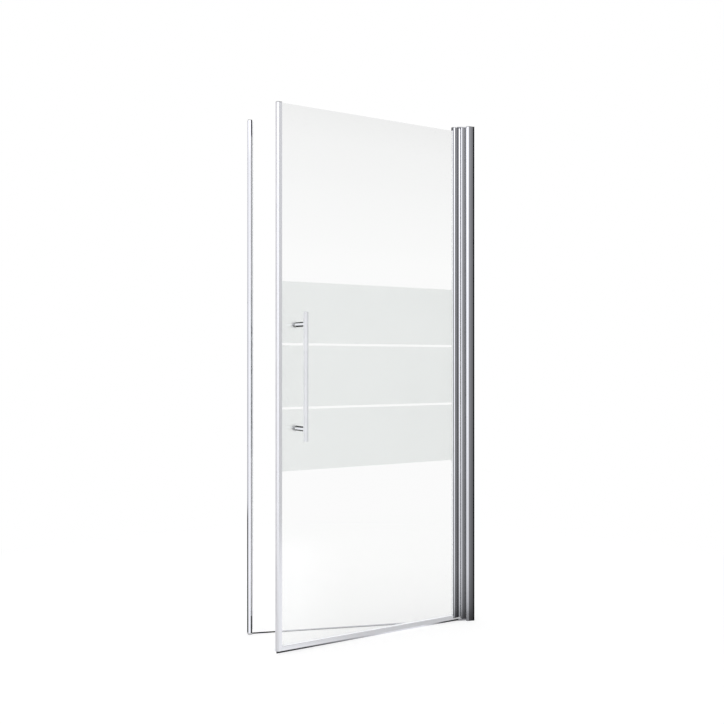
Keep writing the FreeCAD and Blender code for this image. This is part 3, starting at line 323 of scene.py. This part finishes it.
def frosted_film():
    """Satin white decor with a fine even grain. Light passes it and shapes behind it blur."""
    material, tree, shader = new_material("frosted_film")
    shader.inputs["Transmission Weight"].default_value = 1.0
    shader.inputs["IOR"].default_value = 1.35
    grain = noise(tree, object_place(tree), scale=900.0, detail=4.0, roughness=0.7)
    cloud = noise(tree, object_place(tree), scale=5.0, detail=3.0)
    join(tree, patchy(tree, cloud, (0.795, 0.815, 0.805), (0.815, 0.835, 0.825)), shader.inputs["Base Color"])
    join(tree, spread(tree, grain, 0.42, 0.6), shader.inputs["Roughness"])
    join(tree, bump(tree, grain, 0.05), shader.inputs["Normal"])
    light_passes(tree, shader, (0.86, 0.88, 0.87))
    return material


def wiper_with_painted_light():
    """Dark wiper rubber with painted light and shade along it: it pales over most of the half nearer the
    hinge and is dark again right by the hinge.
    """
    material, tree, shader = new_material("seal_wiper")
    shader.inputs["Specular IOR Level"].default_value = 0.2
    shader.inputs["Roughness"].default_value = 0.55
    low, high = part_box("bottom_wiper")
    share = share_along(tree, "X", low.x, high.x)
    fine = noise(tree, object_place(tree), scale=600.0, detail=4.0)
    shifted = math_node(tree, "MULTIPLY_ADD", fine, 0.03, share)
    # Painted light and shade: dark at the free end and by the hinge, pale between
    tone = colours(tree, shifted, [(at, cool(value)) for at, value in WIPER_PAINTED_LIGHT])
    join(tree, tone, shader.inputs["Base Color"])
    join(tree, bump(tree, fine, 0.02), shader.inputs["Normal"])
    return material


profile_chrome = metal("profile_chrome", CHROME_DULL, CHROME_BRIGHT, 0.03, 0.06, UPRIGHT, FINE_GROOVE)
stile_satin = metal(
    "stile_satin", SATIN_DULL, SATIN_BRIGHT, 0.12, 0.18, UPRIGHT, FINE_GROOVE, metallic=0.45,
)
rail_satin = metal(
    "rail_satin", SATIN_DULL, SATIN_BRIGHT, 0.12, 0.18, ALONG_LEAF, FINE_GROOVE, LEAF_ANGLE, metallic=0.35,
)
threshold_chrome = metal(
    "threshold_chrome", CHROME_DULL, CHROME_BRIGHT, 0.05, 0.12, ALONG_LEAF, FINE_GROOVE,
)
bar_satin = metal("bar_satin", BAR_DULL, BAR_BRIGHT, 0.22, 0.3, UPRIGHT, FINE_GROOVE, metallic=0.3)
# Chrome darkened as painted shade, for the dark line along the strike's magnet profile; the knobs use it too
painted_shade_chrome = metal(
    "painted_shade_chrome", (0.32, 0.322, 0.335), (0.36, 0.362, 0.375), 0.05, 0.1, UPRIGHT, FINE_GROOVE,
)
# Chrome with painted reflection bands, for the standoff rods
rod_chrome = rod_with_painted_bands()
steel = metal("steel", (0.52, 0.52, 0.53), (0.64, 0.64, 0.65), 0.22, 0.38, EVEN, 0.01)
glass = clear_glass()
frost = frosted_film()
# The clear seals glow a little: painted light
seal_clear = plastic("seal_clear", (0.86, 0.87, 0.88), (0.92, 0.93, 0.94), 0.3, 400.0, 0.005, glow=0.22)
seal_wiper = wiper_with_painted_light()
seal_dark = plastic(
    "seal_dark", (0.006, 0.006, 0.007), (0.012, 0.012, 0.014), 0.55, 600.0, 0.02, specular=0.1,
)
seal_magnet = plastic("seal_magnet", (0.66, 0.65, 0.68), (0.74, 0.73, 0.76), 0.45, 500.0, 0.03)
plastic_dark = plastic("plastic_dark", (0.03, 0.03, 0.032), (0.05, 0.05, 0.052), 0.42, 800.0, 0.03)
plastic_grey = plastic("plastic_grey", (0.5, 0.5, 0.51), (0.58, 0.58, 0.59), 0.45, 800.0, 0.03)
plastic_white = plastic("plastic_white", (0.82, 0.82, 0.8), (0.88, 0.88, 0.86), 0.4, 800.0, 0.02)
foam_tape = plastic("foam_tape", (0.24, 0.24, 0.25), (0.32, 0.32, 0.33), 0.85, 1500.0, 0.1)

# Pins, screws, studs and brackets aren't listed: they are steel
NODE_MATERIALS = {
    "hinge_wall_channel": profile_chrome,
    "hinge_post": profile_chrome,
    "hinge_stile": profile_chrome,
    "closing_stile": stile_satin,
    "strike_wall_channel": profile_chrome,
    "strike_magnet_profile": painted_shade_chrome,
    "bottom_rail": rail_satin,
    "threshold_rail": threshold_chrome,
    "handle_bar": bar_satin,
    "handle_cap_upper": bar_satin,
    "handle_cap_lower": bar_satin,
    "standoff_upper": rod_chrome,
    "standoff_lower": rod_chrome,
    "knob_upper": painted_shade_chrome,
    "knob_lower": painted_shade_chrome,
    "glass_panel": glass,
    "frosted_decor": frost,
    "hinge_gasket_inner": seal_clear,
    "hinge_gasket_outer": seal_clear,
    "closing_gasket_inner": seal_clear,
    "closing_gasket_outer": seal_clear,
    "rail_gasket_inner": seal_clear,
    "rail_gasket_outer": seal_clear,
    "drip_deflector": seal_clear,
    "hinge_gap_seal": seal_clear,
    "strike_stop_seal": seal_clear,
    "bottom_wiper": seal_wiper,
    "hinge_wall_seal": seal_dark,
    "threshold_stop": seal_dark,
    "door_magnet_strip": seal_magnet,
    "strike_magnet_strip": seal_magnet,
    "hinge_cap_top": plastic_dark,
    "closing_stile_cap": plastic_dark,
    "stile_top_block": plastic_dark,
    "stile_bottom_block": plastic_grey,
    "strike_cap_top": plastic_dark,
    "strike_foot": plastic_grey,
    "threshold_end_cap": plastic_grey,
    "top_pivot_bush": plastic_white,
    "bottom_pivot_bush": plastic_white,
    "thrust_washer": plastic_white,
    "sleeve_upper": plastic_white,
    "sleeve_lower": plastic_white,
    "washer_outer_upper": plastic_white,
    "washer_outer_lower": plastic_white,
    "washer_inner_upper": plastic_white,
    "washer_inner_lower": plastic_white,
    "threshold_tape": foam_tape,
}
for name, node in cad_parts.items():
    node.data.materials.clear()
    node.data.materials.append(NODE_MATERIALS.get(name, steel))


# ---- Studio ----


def across(degrees):
    """A bearing as a share of the full turn, from the back of the room."""
    return (degrees + 180) / 360


def up(degrees):
    """An angle above the level as a share of the way from straight down to straight up."""
    return (math.sin(math.radians(degrees)) + 1) / 2


def panel_stops(place, low, high):
    """White from low to high and black outside, with soft edges. Place turns degrees into a share."""
    return [
        (place(low - PANEL_EDGE), grey(0.0)), (place(low), grey(1.0)),
        (place(high), grey(1.0)), (place(high + PANEL_EDGE), grey(0.0)),
    ]


def room_colour(tree):
    """The room that gloss shows: broad soft boxes with dark gaps between them, and a few panels."""
    place = tree.nodes.new("ShaderNodeTexCoord")
    parts = axes(tree, place.outputs["Generated"])
    # The bearing runs from -180 at the back through 0 at the front, where -Y is, and grows towards +X
    to_front = math_node(tree, "MULTIPLY", parts["Y"], -1.0)
    bearing = math_node(tree, "ARCTAN2", parts["X"], to_front)
    share = spread(tree, bearing, 0.0, 1.0, -math.pi, math.pi)
    height = spread(tree, parts["Z"], 0.0, 1.0, -1.0, 1.0)

    around = colours(tree, share, [(across(degrees), cool(value)) for degrees, value in ROOM_BY_BEARING])
    falloff = colours(tree, height, [(up(degrees), grey(value)) for degrees, value in ROOM_BY_HEIGHT])
    room = put(tree, "ShaderNodeMixRGB", blend_type="MULTIPLY", fac=1.0)
    join(tree, around, room.inputs[1])
    join(tree, falloff, room.inputs[2])
    shade = room.outputs[0]
    for left, right, bottom, top, value in ROOM_PANELS:
        sides = colours(tree, share, panel_stops(across, left, right))
        ends = colours(tree, height, panel_stops(up, bottom, top))
        panel = tree.nodes.new("ShaderNodeMixRGB")
        join(tree, math_node(tree, "MULTIPLY", sides, ends), panel.inputs[0])
        join(tree, shade, panel.inputs[1])
        panel.inputs[2].default_value = (*cool(value), 1)
        shade = panel.outputs[0]
    return shade


def studio_world():
    """White backdrop and even light, and the room for gloss alone."""
    world = bpy.data.worlds.new("studio")
    bpy.context.scene.world = world
    world.use_nodes = True
    tree = world.node_tree
    tree.nodes.clear()
    gloss = tree.nodes.new("ShaderNodeBackground")
    join(tree, room_colour(tree), gloss.inputs["Color"])
    plain = put(tree, "ShaderNodeBackground", color=(1, 1, 1, 1))
    join(tree, spread(tree, seen(tree), AMBIENT, 1.0, 0.0, 1.0), plain.inputs["Strength"])
    through = ray(tree, "Is Transmission Ray")
    reflected = math_node(tree, "SUBTRACT", ray(tree, "Is Glossy Ray"), through)
    share = math_node(tree, "MAXIMUM", reflected, 0.0)
    output = tree.nodes.new("ShaderNodeOutputWorld")
    join(tree, blend(tree, share, plain.outputs[0], gloss.outputs[0]), output.inputs["Surface"])


def key_lamp():
    """One large soft box above the front left."""
    data = bpy.data.lights.new("key", "AREA")
    data.energy = KEY_POWER
    data.size = KEY_SIZE
    lamp = bpy.data.objects.new("key", data)
    lamp.location = KEY_PLACE
    aim = Vector(KEY_AIM) - lamp.location
    lamp.rotation_euler = aim.to_track_quat("-Z", "Y").to_euler()
    lamp.visible_glossy = False
    bpy.context.scene.collection.objects.link(lamp)


def floor_material():
    """Pale near the door, where it holds the shadow, and plain white to the camera further away."""
    material, tree, shader = new_material("floor")
    shader.inputs["Roughness"].default_value = 0.9
    shader.inputs["Specular IOR Level"].default_value = 0.0
    shader.inputs["Base Color"].default_value = (*grey(FLOOR_TONE), 1)
    glow = put(tree, "ShaderNodeEmission", color=(1, 1, 1, 1), strength=FLOOR_GLOW)
    near = tree.nodes.new("ShaderNodeAddShader")
    join(tree, shader.outputs[0], near.inputs[0])
    join(tree, glow.outputs[0], near.inputs[1])
    far = put(tree, "ShaderNodeEmission", color=(1, 1, 1, 1), strength=1.0)
    place = tree.nodes.new("ShaderNodeTexCoord")
    length = put(tree, "ShaderNodeVectorMath", operation="LENGTH")
    join(tree, place.outputs["Object"], length.inputs[0])
    away = spread(tree, length.outputs["Value"], 0.0, 1.0, FLOOR_NEAR, FLOOR_FAR)
    shown = blend(tree, away, near.outputs[0], far.outputs[0])
    show(tree, blend(tree, seen(tree), near.outputs[0], shown))
    return material


def floor():
    """A round floor just under the door."""
    angles = [2 * math.pi * step / FLOOR_SIDES for step in range(FLOOR_SIDES)]
    points = [
        (FLOOR_RADIUS * math.cos(angle), FLOOR_RADIUS * math.sin(angle), -FLOOR_DEPTH) for angle in angles
    ]
    mesh = bpy.data.meshes.new("floor")
    mesh.from_pydata(points, [], [tuple(range(FLOOR_SIDES))])
    piece = bpy.data.objects.new("floor", mesh)
    bpy.context.scene.collection.objects.link(piece)
    piece.visible_glossy = False
    mesh.materials.append(floor_material())


def camera():
    """The camera at the photograph's viewing angle."""
    data = bpy.data.cameras.new("camera")
    data.sensor_width = SENSOR_WIDTH
    data.lens = FOCAL_LENGTH
    piece = bpy.data.objects.new("camera", data)
    piece.location = CAMERA_PLACE
    piece.rotation_euler = (math.pi / 2 + CAMERA_PITCH, 0, -CAMERA_YAW)
    bpy.context.scene.collection.objects.link(piece)
    bpy.context.scene.camera = piece


studio_world()
key_lamp()
floor()
camera()
bpy.context.scene.view_settings.view_transform = "Standard"
